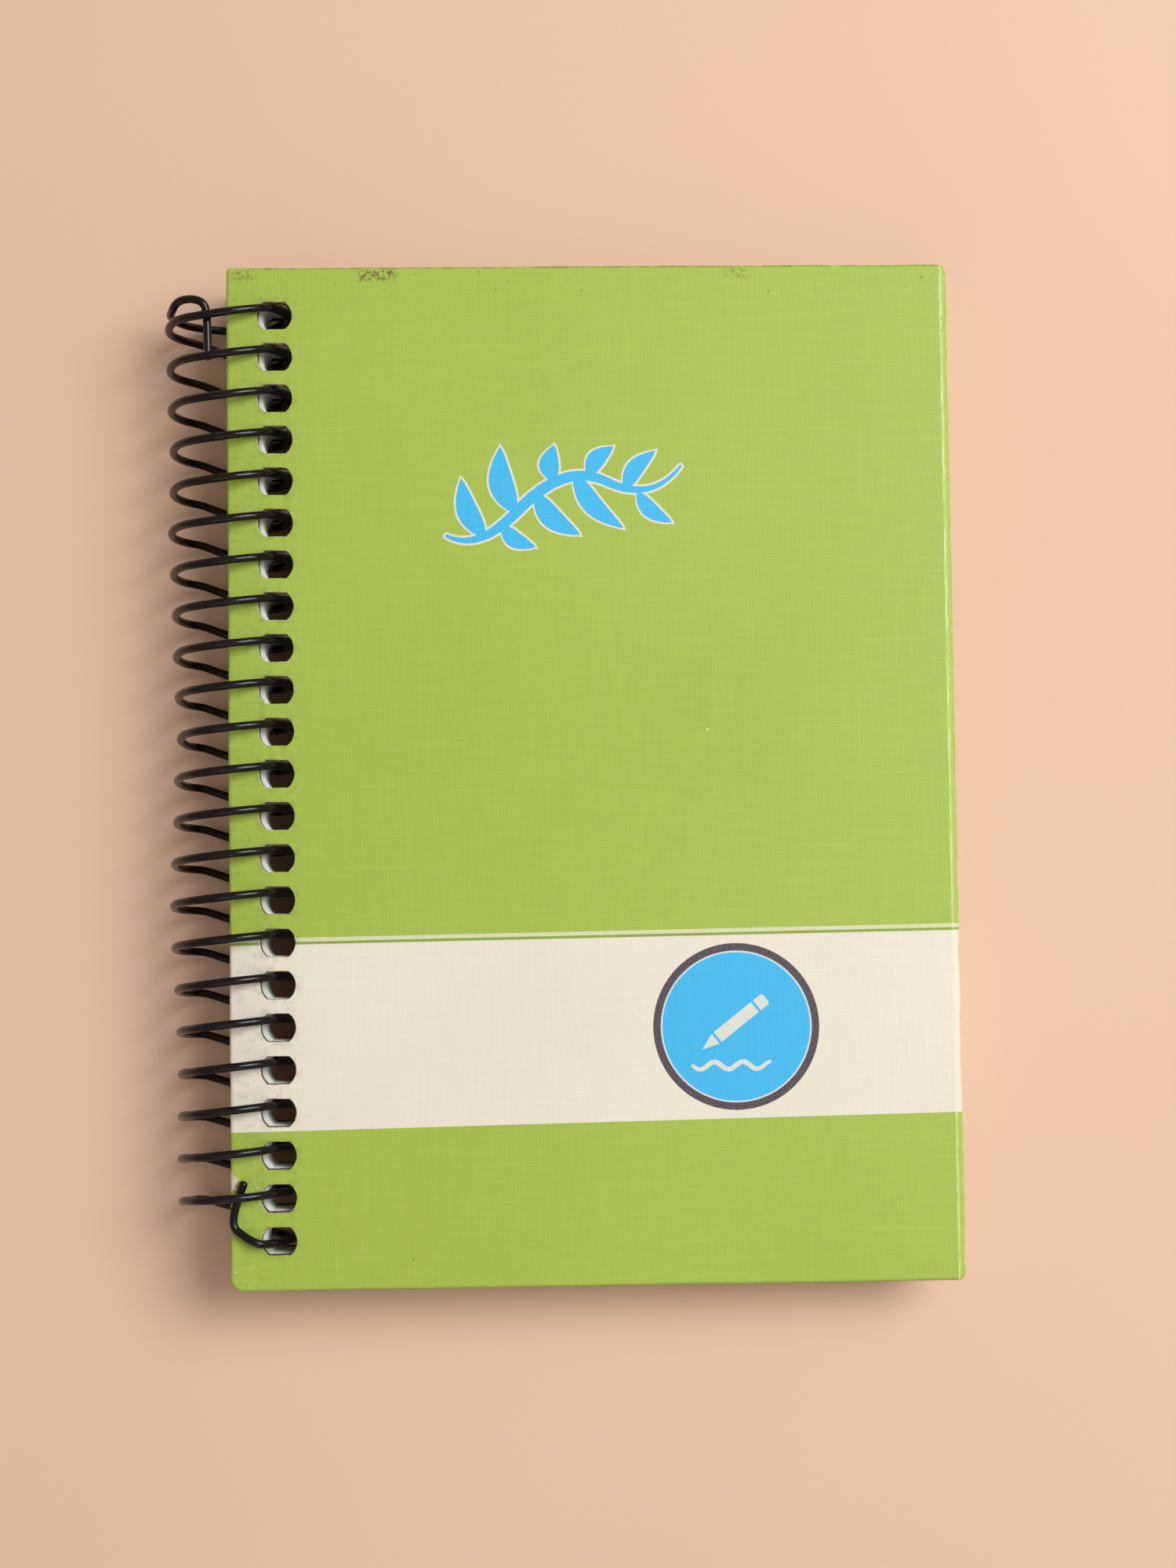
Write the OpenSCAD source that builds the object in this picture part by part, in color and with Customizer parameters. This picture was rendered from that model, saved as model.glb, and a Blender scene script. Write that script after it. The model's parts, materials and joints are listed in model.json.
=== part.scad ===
// Pocket notebook bound on a single wire coil.
// Two cased board covers and sixty ruled leaves are threaded on one coated wire coil.
// Millimetres. +Z up, +Y towards the head of the book, +X towards the fore-edge.
// The origin is at the centre of the bottom of the bounding box; the coil touches z = 0.

/* [Cover] */
// Width of a cover, spine edge to fore-edge
cover_w = 110; // [100:0.5:120]
// Height of a cover, head to tail
cover_h = 154.5; // [153:0.5:165]
// Thickness of the board inside a cover
board_t = 1.8; // [1.5:0.1:1.9]
// Radius of a cover's corners in plan
corner_r = 1.4; // [0.8:0.1:2.5]
// Width of the wrap that is turned in over a cover's inner side
turn_in = 14; // [12:1:18]

/* [Leaves] */
// Width of a leaf
leaf_w = 106; // [96:0.5:107]
// Height of a leaf
leaf_h = 148.5; // [147:0.5:150]
// Thickness of one leaf
leaf_t = 0.12; // [0.1:0.01:0.125]
// Distance from one leaf to the next in the stack
leaf_pitch = 0.132; // [0.13:0.001:0.132]

/* [Coil] */
// Thickness of the coated wire
wire_d = 1.25; // [1.1:0.05:1.3]
// Radius of the coil, at the middle of the wire
coil_r = 9; // [8.95:0.05:9.05]

/* [Punching] */
// Length of a punched hole, across the spine
hole_l = 5.2; // [5.15:0.05:5.3]
// Height of a punched hole, along the spine
hole_h = 4.1; // [4.05:0.05:4.3]
// Distance from the spine edge of a cover to the middle of its holes
hole_in = 7.25; // [7.2:0.05:7.35]

/* [Hidden] */

pitch = 6.35;             // four holes to the inch
holes = 23;
wrap_t = 0.15;            // printed and embossed cover paper
lining_t = 0.12;          // pasted-down endpaper
pack_sizes = [1, 11, 12, 12, 12, 12];
n_leaves = 60;
spine_gap = 0.25;         // from the coil's axis to a cover's spine edge
leaf_inset = 0.25;        // leaves stand this far in from the covers' spine edge
stack_half = 3.96;        // top of the first leaf above the coil's axis
cover_in = stack_half + 0.02;                 // inner face of a cover, from the axis
board_in = cover_in + lining_t + wrap_t;      // inner face of its board
board_out = board_in + board_t;
cover_out = board_out + wrap_t;               // outer face of a cover
hole_x = spine_gap + hole_in;
coil_out = coil_r + wire_d / 2;
// the coil's axis in the part's frame
axis_x = -(spine_gap + cover_w - coil_out) / 2;
axis_z = coil_out;
steps = 20;               // coil segments in a turn
sides = 8;                // sides of the wire

function hole_y(i) = (holes - 1) * pitch / 2 - i * pitch;

// ---- flat outlines -------------------------------------------------------
function corner(cx, cy, r, a0) =
    [for (k = [0:5]) [cx + r * cos(a0 + k * 18), cy + r * sin(a0 + k * 18)]];

module plate(x0, x1, h, r) {
    polygon(concat(corner(x1 - r, h / 2 - r, r, 0),
                   corner(x0 + r, h / 2 - r, r, 90),
                   corner(x0 + r, -h / 2 + r, r, 180),
                   corner(x1 - r, -h / 2 + r, r, 270)));
}

// one punched hole: a round punch with a flat head and foot
module punch() {
    intersection() {
        circle(d = hole_l, $fn = 48);
        square([hole_l + 1, hole_h], center = true);
    }
}

module punch_row() {
    for (i = [0:holes - 1]) translate([hole_x, hole_y(i)]) punch();
}

module slab(z0, z1) {
    translate([0, 0, z0]) linear_extrude(height = z1 - z0) children();
}

// ---- covers, drawn above the axis; the back cover is the mirror image ------
module cover_board() {
    slab(board_in, board_out) difference() {
        plate(spine_gap + wrap_t, spine_gap + cover_w - wrap_t,
              cover_h - 2 * wrap_t, corner_r - wrap_t);
        punch_row();
    }
}

// paper glued over the outer face and the four edges, and turned in
module cover_wrap() {
    difference() {
        slab(board_in - wrap_t, cover_out)
            plate(spine_gap, spine_gap + cover_w, cover_h, corner_r);
        slab(board_in, board_out)
            plate(spine_gap + wrap_t, spine_gap + cover_w - wrap_t,
                  cover_h - 2 * wrap_t, corner_r - wrap_t);
        slab(board_in - 2 * wrap_t, board_in + board_t / 2)
            plate(spine_gap + turn_in, spine_gap + cover_w - turn_in,
                  cover_h - 2 * turn_in, 0.6);
        slab(cover_in - 1, cover_out + 1) punch_row();
    }
}

// lining pasted over the turned-in edges, pressed down onto the board between them
module cover_endpaper() {
    difference() {
        union() {
            slab(cover_in, cover_in + lining_t)
                plate(spine_gap + 1.5, spine_gap + cover_w - 2, cover_h - 4, 0.8);
            slab(cover_in + lining_t / 2, board_in)
                plate(spine_gap + turn_in, spine_gap + cover_w - turn_in,
                      cover_h - 2 * turn_in, 0.6);
        }
        slab(cover_in - 1, cover_out + 1) punch_row();
    }
}

// ---- leaves --------------------------------------------------------------
function leaves_before(p) = p == 0 ? 0 : pack_sizes[p - 1] + leaves_before(p - 1);

module leaf_pack(p) {
    for (k = [0:pack_sizes[p] - 1]) {
        top = stack_half - (leaves_before(p) + k) * leaf_pitch;
        slab(top - leaf_t, top) difference() {
            plate(spine_gap + leaf_inset, spine_gap + leaf_inset + leaf_w, leaf_h, 0.6);
            punch_row();
        }
    }
}

// ---- wire coil -----------------------------------------------------------
// Where the wire lies along the spine, as [angle round the coil, offset, slope] from the
// middle of the hole it leaves. It runs straight through the stacked holes, slopes over
// the front and the spine side, and makes up the rest of the pitch underneath.
hold_head = 1.1;          // towards the head of its hole at the head end of the coil
hold_tail = -0.15;        // and a little towards the tail at the other end
left = -1.05;             // offset at the spine side
function hold(i) = hold_head + (hold_tail - hold_head) * min(max(i, 0), holes - 1) / (holes - 1);
function lead(i) = let (h = hold(i), n = hold(i + 1) - pitch)
    [[-45, h, 0], [45, h, -0.003], [110, (h + left) / 2, (left - h) / 108], [180, left + 0.05, -0.003],
     [228, left - 0.05, -0.006], [272, (left + n) / 2 - 0.1, (n - left) / 74], [315, n, 0]];

function herm(a, b, t) = let (h = b[0] - a[0])
    (2*pow(t,3) - 3*pow(t,2) + 1) * a[1] + (pow(t,3) - 2*pow(t,2) + t) * h * a[2] +
    (-2*pow(t,3) + 3*pow(t,2)) * b[1] + (pow(t,3) - pow(t,2)) * h * b[2];
function along(tab, a, i = 0) = (i >= len(tab) - 2 || a <= tab[i + 1][0]) ?
    herm(tab[i], tab[i + 1], (a - tab[i][0]) / (tab[i + 1][0] - tab[i][0])) :
    along(tab, a, i + 1);

// centre of the wire at total angle a, counted from the fore-edge side of the head hole;
// before that hole it runs straight in from the spine side
function coil_point(a) = let (turn = floor((a + 45) / 360), f = a - 360 * turn)
    [coil_r * cos(a),
     turn < 0 ? hole_y(0) + hold_head : hole_y(turn) + along(lead(turn), f),
     coil_r * sin(a)];

first_a = 144 - 360;
last_a = 54 + 360 * (holes - 1);
coil_line = [for (k = [0:(last_a - first_a) * steps / 360]) coil_point(first_a + k * 360 / steps)];

function unit(v) = v / norm(v);
function tangent(P, i) = unit(P[min(i + 1, len(P) - 1)] - P[max(i - 1, 0)]);
function square_to(v, t) = unit(v - (v * t) * t);
function ring(p, n, t) = let (b = cross(t, n))
    [for (s = [0:sides - 1]) p + wire_d / 2 * (cos(360 * s / sides) * n + sin(360 * s / sides) * b)];

// closed tube over a list of rings
module tube(rings) {
    m = len(rings);
    polyhedron(points = [for (r = rings) for (q = r) q],
        faces = concat(
            [[for (s = [sides - 1:-1:0]) s]],
            [[for (s = [0:sides - 1]) (m - 1) * sides + s]],
            [for (i = [0:m - 2]) for (s = [0:sides - 1])
                [i * sides + s, i * sides + (s + 1) % sides,
                 (i + 1) * sides + (s + 1) % sides]],
            [for (i = [0:m - 2]) for (s = [0:sides - 1])
                [i * sides + s, (i + 1) * sides + (s + 1) % sides,
                 (i + 1) * sides + s]]));
}

function radial(p) = unit([p[0], 0, p[2]]);
coil_rings = [for (i = [0:len(coil_line) - 1])
    let (t = tangent(coil_line, i)) ring(coil_line[i], square_to(radial(coil_line[i]), t), t)];

// Bent-over ends. Each route starts with the coil's own end ring.
// head end: curls over and lies along the coil, under the first strand
y0 = hole_y(0);
head_route = [[-6.85, y0 + 1.4, 5.85], [-6.2, y0 + 2.2, 6.5], [-5.35, y0 + 2.75, 7.0],
              [-4.45, y0 + 2.9, 7.35], [-3.65, y0 + 2.65, 7.5], [-3.1, y0 + 2.1, 7.5],
              [-2.8, y0 + 1.3, 7.35], [-2.72, y0 + 0.3, 7.18], [-2.68, y0 - 0.8, 7.1],
              [-2.6, y0 - 2.6, 7.08], [-2.5, y0 - 4.6, 7.08], [-2.45, y0 - 6.4, 7.1]];
// tail end: drops onto the cover and lies along it, under the last strand but one
y22 = hole_y(holes - 1);
tail_route = [[4.5, y22 - 0.2, 7.7], [3.65, y22 - 0.1, 7.85], [2.85, y22 + 0.25, 7.7],
              [2.1, y22 + 0.85, 7.45], [1.55, y22 + 1.6, 7.2], [1.22, y22 + 2.5, 7.08],
              [1.15, y22 + 3.5, 7.03], [1.35, y22 + 5.2, 7.02], [1.75, y22 + 7.2, 7.02],
              [2.15, y22 + 9.1, 7.02]];
head_line = concat([coil_line[1], coil_line[0]], head_route);
tail_line = concat([coil_line[len(coil_line) - 2], coil_line[len(coil_line) - 1]], tail_route);

// An end's first ring is the coil's own end ring; the rest follow the route without twist.
function heading(P, i) = i == 1 ? unit(P[1] - P[0]) : tangent(P, i);
function carried(P, n0) = [for (i = 1, n = n0; i < len(P);
    i = i + 1, n = i < len(P) ? square_to(n, heading(P, i)) : n) n];
function route_rings(P, n0) = let (N = carried(P, n0))
    [for (i = [1:len(P) - 1]) ring(P[i], N[i - 1], heading(P, i))];

module coil_wire() { tube(coil_rings); }

module end_of(P) {
    tube(route_rings(P, square_to(radial(P[1]), heading(P, 1))));
}

module placed() { translate([axis_x, 0, axis_z]) children(); }
module back() { mirror([0, 0, 1]) children(); }

module front_board() { color("tan") placed() cover_board(); }
module front_wrap() { color("yellowgreen") placed() cover_wrap(); }
module front_endpaper() { color("ivory") placed() cover_endpaper(); }
module back_board() { color("tan") placed() back() cover_board(); }
module back_wrap() { color("yellowgreen") placed() back() cover_wrap(); }
module back_endpaper() { color("ivory") placed() back() cover_endpaper(); }
module coil() { color("black") placed() coil_wire(); }
module coil_end_top() { color("black") placed() end_of(head_line); }
module coil_end_bottom() { color("black") placed() end_of(tail_line); }
module leaves(p) { color("white") placed() leaf_pack(p); }

front_board();
front_wrap();
front_endpaper();
back_board();
back_wrap();
back_endpaper();
coil();
coil_end_top();
coil_end_bottom();
leaves(0);  // first_leaf
leaves(1);  // leaf_pack_1
leaves(2);  // leaf_pack_2
leaves(3);  // leaf_pack_3
leaves(4);  // leaf_pack_4
leaves(5);  // leaf_pack_5
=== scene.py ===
"""Pocket notebook: two board covers and sixty leaves on one coated wire coil."""

import json
import math

import bpy
import numpy as np
from mathutils import Matrix, Vector
from mathutils.geometry import tessellate_polygon


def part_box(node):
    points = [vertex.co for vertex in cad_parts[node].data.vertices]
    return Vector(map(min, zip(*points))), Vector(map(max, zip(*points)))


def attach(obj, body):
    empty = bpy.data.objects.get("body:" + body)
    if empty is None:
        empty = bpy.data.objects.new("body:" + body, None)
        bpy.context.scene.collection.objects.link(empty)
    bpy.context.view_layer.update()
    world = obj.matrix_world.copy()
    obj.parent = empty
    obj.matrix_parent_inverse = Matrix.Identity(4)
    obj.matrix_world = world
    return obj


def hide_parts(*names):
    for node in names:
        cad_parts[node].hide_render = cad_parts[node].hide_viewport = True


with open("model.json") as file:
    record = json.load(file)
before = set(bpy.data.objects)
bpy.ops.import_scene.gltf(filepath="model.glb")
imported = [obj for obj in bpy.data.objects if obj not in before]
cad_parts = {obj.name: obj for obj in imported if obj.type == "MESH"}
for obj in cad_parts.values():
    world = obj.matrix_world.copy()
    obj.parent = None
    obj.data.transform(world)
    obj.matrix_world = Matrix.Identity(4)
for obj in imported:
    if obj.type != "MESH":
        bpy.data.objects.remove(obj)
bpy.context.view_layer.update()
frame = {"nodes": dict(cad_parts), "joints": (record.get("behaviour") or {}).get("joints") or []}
MM = 0.001
rng = np.random.default_rng(41)

# ---------------------------------------------------------------- sizes (mm)
lo, hi = (np.array(v) * 1000 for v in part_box("front_wrap"))
X0, X1, Y0, Y1 = lo[0], hi[0], lo[1], hi[1]          # cover outline
ZI, ZO = lo[2], hi[2]                                # its inner and outer faces
blo, bhi = (np.array(v) * 1000 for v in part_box("back_wrap"))
clo, chi = (np.array(v) * 1000 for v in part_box("coil"))
joint = frame["joints"][0]
AX, AZ = joint["pos_m"][0] * 1000, joint["pos_m"][2] * 1000   # the coil's axis
W, H = X1 - X0, Y1 - Y0
PITCH, HOLES = 6.35, 23
HX = X0 + 7.25
COIL_R, WIRE = 9.0, 1.25


def hole_y(i):
    return (HOLES - 1) * PITCH / 2 - i * PITCH


# ---------------------------------------------------------------- node helper
class Nodes:
    """Short names for building a material."""

    def __init__(self, name):
        self.mat = bpy.data.materials.new(name)
        self.mat.use_nodes = True
        self.t = self.mat.node_tree
        self.t.nodes.clear()
        self.out = self.t.nodes.new("ShaderNodeOutputMaterial")
        self.bsdf = self.t.nodes.new("ShaderNodeBsdfPrincipled")
        self.t.links.new(self.bsdf.outputs[0], self.out.inputs[0])
        c = self.t.nodes.new("ShaderNodeTexCoord")
        m = self.t.nodes.new("ShaderNodeVectorMath")
        m.operation = "SCALE"
        m.inputs["Scale"].default_value = 1000.0
        self.t.links.new(c.outputs["Object"], m.inputs[0])
        self.P = m.outputs[0]                        # object coordinates in mm
        s = self.t.nodes.new("ShaderNodeSeparateXYZ")
        self.t.links.new(self.P, s.inputs[0])
        self.x, self.y, self.z = s.outputs

    def put(self, socket, v):
        if isinstance(v, bpy.types.NodeSocket):
            self.t.links.new(v, socket)
        elif isinstance(v, (tuple, list)) and len(v) == 3 and socket.type == "RGBA":
            socket.default_value = (*v, 1)
        else:
            socket.default_value = v

    def m(self, op, a, b=None, c=None, clamp=False):
        n = self.t.nodes.new("ShaderNodeMath")
        n.operation, n.use_clamp = op, clamp
        for k, v in enumerate((a, b, c)):
            if v is not None:
                self.put(n.inputs[k], v)
        return n.outputs[0]

    def add(self, a, b): return self.m("ADD", a, b)
    def sub(self, a, b): return self.m("SUBTRACT", a, b)
    def mul(self, a, b): return self.m("MULTIPLY", a, b)
    def mx(self, a, b): return self.m("MAXIMUM", a, b)
    def mn(self, a, b): return self.m("MINIMUM", a, b)

    def ramp(self, v, a, b, c=0.0, d=1.0):
        """v from a..b mapped to c..d, clamped, smooth."""
        n = self.t.nodes.new("ShaderNodeMapRange")
        n.interpolation_type = "SMOOTHSTEP"
        n.clamp = True
        for k, q in zip(("Value", "From Min", "From Max", "To Min", "To Max"), (v, a, b, c, d)):
            self.put(n.inputs[k], q)
        return n.outputs[0]

    def band(self, v, a, b, soft=0.06):
        """1 where a < v < b."""
        return self.mul(self.ramp(v, self.off(a, -soft), self.off(a, soft)) , self.ramp(v, self.off(b, -soft), self.off(b, soft), 1.0, 0.0))

    def off(self, a, s):
        return self.add(a, s) if isinstance(a, bpy.types.NodeSocket) else a + s

    def vec(self, a, b, c):
        n = self.t.nodes.new("ShaderNodeCombineXYZ")
        for k, v in enumerate((a, b, c)):
            self.put(n.inputs[k], v)
        return n.outputs[0]

    def scaled(self, sx, sy, sz, off=(0.0, 0.0, 0.0)):
        n = self.t.nodes.new("ShaderNodeMapping")
        self.t.links.new(self.P, n.inputs["Vector"])
        n.inputs["Location"].default_value = off
        n.inputs["Scale"].default_value = (sx, sy, sz)
        return n.outputs[0]

    def noise(self, vec=None, scale=1.0, detail=2.0, rough=0.5, dist=0.0, colour=False):
        n = self.t.nodes.new("ShaderNodeTexNoise")
        self.put(n.inputs["Vector"], vec if vec is not None else self.P)
        n.inputs["Scale"].default_value = scale
        n.inputs["Detail"].default_value = detail
        n.inputs["Roughness"].default_value = rough
        n.inputs["Distortion"].default_value = dist
        return n.outputs["Color" if colour else "Fac"]

    def voronoi(self, vec, scale, what="Distance", rand=1.0):
        n = self.t.nodes.new("ShaderNodeTexVoronoi")
        self.put(n.inputs["Vector"], vec)
        n.inputs["Scale"].default_value = scale
        n.inputs["Randomness"].default_value = rand
        return n.outputs[what]

    def mix(self, f, a, b):
        n = self.t.nodes.new("ShaderNodeMix")
        n.data_type = "RGBA"
        n.clamp_factor = True
        self.put(n.inputs[0], f)
        self.put(n.inputs[6], a)
        self.put(n.inputs[7], b)
        return n.outputs[2]

    def shade(self, col, k):
        """colour times the number k."""
        n = self.t.nodes.new("ShaderNodeVectorMath")
        n.operation = "SCALE"
        if isinstance(col, bpy.types.NodeSocket):
            self.t.links.new(col, n.inputs[0])
        else:
            n.inputs[0].default_value = col[:3]
        self.put(n.inputs["Scale"], k)
        return n.outputs[0]

    def bump(self, height, strength=1.0, dist=1.0, normal=None):
        n = self.t.nodes.new("ShaderNodeBump")
        n.inputs["Strength"].default_value = strength
        n.inputs["Distance"].default_value = dist * MM
        self.put(n.inputs["Height"], height)
        if normal is not None:
            self.t.links.new(normal, n.inputs["Normal"])
        return n.outputs[0]

    def set(self, **kw):
        for k, v in kw.items():
            self.put(self.bsdf.inputs[k.replace("_", " ")], v)
        return self.mat


def srgb(r, g, b):
    f = lambda c: c / 12.92 if c <= 0.04045 else ((c + 0.055) / 1.055) ** 2.4
    return tuple(f(c / 255) for c in (r, g, b))


# ---------------------------------------------------------------- materials
GREEN = srgb(166, 192, 74)
CREAM = srgb(229, 221, 198)
BLUE = srgb(62, 188, 242)
RING = srgb(78, 68, 74)
PALE = srgb(226, 226, 204)


def linen(n):
    """The embossed weave: (brightness factor, height in mm)."""
    # slightly wandering threads about 0.36 mm apart, both ways
    wob = n.sub(n.noise(scale=0.22, detail=1.0), 0.5)
    k = 2 * math.pi / 0.36
    wx = n.m("SINE", n.mul(n.add(n.x, n.mul(wob, 0.5)), k))
    wy = n.m("SINE", n.mul(n.add(n.y, n.mul(wob, -0.5)), k))
    weave = n.mul(n.add(wx, wy), 0.25)                                     # -0.5..0.5
    along_x = n.sub(n.noise(n.scaled(0.13, 3.4, 1.0), 1.0, 3.0, 0.65), 0.5)
    along_y = n.sub(n.noise(n.scaled(3.4, 0.13, 1.0, (7, 3, 0)), 1.0, 3.0, 0.65), 0.5)
    threads = n.add(along_x, along_y)
    slub_x = n.ramp(n.noise(n.scaled(0.07, 1.15, 1.0, (31, 5, 0)), 1.0, 2.0, 0.5), 0.58, 0.72)
    slub_y = n.ramp(n.noise(n.scaled(1.15, 0.07, 1.0, (3, 17, 0)), 1.0, 2.0, 0.5), 0.60, 0.74)
    blot = n.sub(n.noise(scale=0.045, detail=3.0), 0.5)
    f = n.add(1.0, n.mul(weave, 0.17))
    f = n.add(f, n.mul(threads, 0.15))
    f = n.add(f, n.mul(n.add(slub_x, slub_y), 0.04))
    f = n.add(f, n.mul(blot, 0.035))
    h = n.add(n.mul(weave, 0.018), n.mul(threads, 0.030))
    h = n.add(h, n.mul(n.add(slub_x, slub_y), 0.008))
    return f, h


def specks(n, col, seed=0.0):
    """Dust, pinholes and fibres."""
    v = n.scaled(1.0, 1.0, 0.0, (seed, seed * 0.7, 0.0))
    for scale, keep, r, tint in ((0.13, 0.86, 0.044, srgb(246, 248, 232)),
                                 (0.09, 0.86, 0.028, srgb(70, 68, 42)),
                                 (0.42, 0.93, 0.030, srgb(120, 128, 66)),
                                 (0.30, 0.92, 0.022, srgb(226, 232, 200))):
        d = n.voronoi(v, scale)
        c = n.voronoi(v, scale, "Color")
        s = n.t.nodes.new("ShaderNodeSeparateColor")
        n.t.links.new(c, s.inputs[0])
        size = n.mul(s.outputs[1], r)
        on = n.m("GREATER_THAN", s.outputs[0], keep)
        col = n.mix(n.mul(n.mul(on, n.m("LESS_THAN", d, size)), 0.8), col, tint)
    return col


def hole_distance(n):
    """Distance outward from the edge of the nearest punched hole, in mm."""
    yy = n.sub(n.m("WRAP", n.add(n.y, PITCH / 2), PITCH, 0.0), PITCH / 2)
    dx = n.sub(n.x, HX)
    r = n.m("SQRT", n.add(n.mul(dx, dx), n.mul(yy, yy)))
    round_ = n.sub(r, 2.6)
    flat = n.sub(n.m("ABSOLUTE", yy), 2.05)
    d = n.mx(round_, flat)
    inside = n.m("LESS_THAN", n.m("ABSOLUTE", n.y), HOLES * PITCH / 2)
    return n.add(d, n.mul(n.sub(1.0, inside), 9.0))


def cover_material(name, front=True):
    n = Nodes(name)
    f, h = linen(n)
    px = n.sub(n.x, X0)                         # from the spine edge
    py = n.sub(Y1, n.y)                         # from the head
    k = n.mul(px, 1 / W)
    top = n.sub(103.05, n.mul(k, 1.08))         # the band runs slightly out of square
    foot = n.sub(130.90, n.mul(k, 1.60))
    green = n.mix(n.ramp(n.noise(scale=0.02, detail=2.0), 0.3, 0.7), srgb(165, 190, 72), srgb(168, 193, 77))
    col = green
    cream = n.mix(n.ramp(n.noise(scale=0.05, detail=3.0), 0.3, 0.7), srgb(234, 227, 210), srgb(237, 231, 214))
    col = n.mix(n.band(py, top, foot, 0.05), col, cream)
    line = n.add(top, -0.42)
    col = n.mix(n.mul(n.band(py, n.add(top, -1.02), line, 0.05), 0.85), col, srgb(224, 228, 190))
    col = n.mix(n.band(py, line, n.add(top, -0.06), 0.05), col, srgb(140, 166, 66))
    if front:
        # badge: a blue disc inside a pale line and a dark ring
        bx, by = n.sub(px, 76.0), n.sub(py, 116.05)
        r = n.m("SQRT", n.add(n.mul(bx, bx), n.mul(by, by)))
        dots = n.noise(n.scaled(5.0, 5.0, 0.0), 1.0, 1.0)
        ring = n.mix(n.ramp(dots, 0.42, 0.62), srgb(66, 55, 62), srgb(104, 94, 100))
        col = n.mix(n.ramp(r, 12.46, 12.56, 1.0, 0.0), col, ring)
        col = n.mix(n.ramp(r, 11.33, 11.43, 1.0, 0.0), col, srgb(214, 226, 230))
        col = n.mix(n.ramp(r, 11.09, 11.17, 1.0, 0.0), col, BLUE)
    pale = n.mul(n.band(py, top, foot, 0.05), 0.55)
    col = n.shade(col, n.add(1.0, n.mul(n.sub(f, 1.0), n.sub(1.0, pale))))
    # brown handling marks near the head
    marks = n.noise(n.scaled(1.7, 1.3, 1.0, (2.2, 9.4, 0.0)), 1.0, 4.0, 0.7)
    near_head = n.mul(n.ramp(py, 0.3, 0.7), n.ramp(py, 1.7, 2.6, 1.0, 0.0))
    where = n.mx(n.mul(n.band(px, 20.0, 25.6, 0.8), 1.0),
                 n.mx(n.mul(n.band(px, 0.8, 4.5, 0.6), 0.55), n.mul(n.band(px, 76.0, 80.0, 0.8), 0.45)))
    col = n.mix(n.mul(n.mul(near_head, where), n.ramp(marks, 0.46, 0.56, 0.0, 0.85)), col, srgb(112, 92, 46))
    far = n.mul(n.mul(n.ramp(py, 0.3, 0.8), n.ramp(py, 3.5, 6.5, 1.0, 0.0)), n.ramp(n.noise(n.scaled(0.9, 0.9, 1.0, (12.0, 3.0, 0.0)), 1.0, 3.0, 0.7), 0.66, 0.72))
    col = n.mix(n.mul(far, 0.6), col, srgb(112, 104, 54))
    # a patchy dark brown line along the head edge: painted shade where the wrap rounds over, with some dirt
    head_edge_shade_and_dirt = n.mul(n.ramp(py, 0.14, 0.48, 1.0, 0.0), n.ramp(n.noise(n.scaled(0.45, 0.6, 1.0, (0.0, 6.0, 0.0)), 1.0, 4.0, 0.7), 0.40, 0.58))
    col = n.mix(n.mul(head_edge_shade_and_dirt, 0.62), col, srgb(112, 98, 52))
    # soiling round the holes, where the wire rubs
    hd = hole_distance(n)
    soil = n.mul(n.ramp(hd, 0.1, 1.6, 1.0, 0.0), n.ramp(n.noise(scale=0.7, detail=3.0), 0.42, 0.66))
    col = n.mix(n.mul(soil, 0.22), col, srgb(92, 92, 52))
    left = n.mul(n.band(px, 0.4, 5.0, 0.7), n.ramp(n.noise(n.scaled(0.5, 0.9, 1.0, (8.0, 1.0, 0.0)), 1.0, 4.0, 0.6), 0.50, 0.70))
    col = n.mix(n.mul(left, 0.16), col, srgb(86, 88, 56))
    # the punch left a torn, paler rim
    fray = n.noise(scale=3.1, detail=3.0, rough=0.7)
    rim = n.ramp(n.add(hd, n.mul(n.sub(fray, 0.5), -0.75)), 0.0, 0.16, 1.0, 0.0)
    rimcol = n.mix(n.ramp(n.noise(scale=1.3, detail=2.0), 0.46, 0.64), srgb(206, 212, 172), srgb(164, 140, 110))
    col = n.mix(n.mul(rim, 0.75), col, rimcol)
    # and brown board fibres show at its head side, where the wire pulls
    yy = n.sub(n.m("WRAP", n.add(n.y, PITCH / 2), PITCH, 0.0), PITCH / 2)
    pull = n.mul(n.mul(n.ramp(yy, 0.9, 1.7), n.ramp(n.sub(n.x, HX), -0.2, 1.0, 1.0, 0.0)), n.ramp(n.y, -20.0, 30.0, 0.25, 1.0))
    fib = n.ramp(n.add(hd, n.mul(n.sub(fray, 0.5), -1.5)), 0.10, 0.22, 1.0, 0.0)
    col = n.mix(n.mul(n.mul(pull, fib), 0.9), col, n.mix(n.ramp(fray, 0.45, 0.6), srgb(122, 98, 82), srgb(176, 156, 138)))
    # edges: the print is rubbed thin where the paper turns over
    edge = n.mn(n.mn(px, n.sub(W, px)), n.mn(py, n.sub(H, py)))
    rub = n.noise(n.scaled(0.8, 0.8, 0.8, (1.0, 2.0, 0.0)), 1.0, 4.0, 0.65)
    worn = n.mul(n.ramp(edge, 0.10, 0.55, 1.0, 0.0), n.ramp(rub, 0.50, 0.66))
    col = n.mix(n.mul(worn, 0.42), col, srgb(206, 214, 160))
    # painted shade: a darker green band along the tail edge, where the wrap rounds over
    roll = n.ramp(n.sub(H, py), 0.05, 0.55, 1.0, 0.0)
    col = n.mix(n.mul(roll, 0.45), col, srgb(122, 140, 58))
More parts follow.
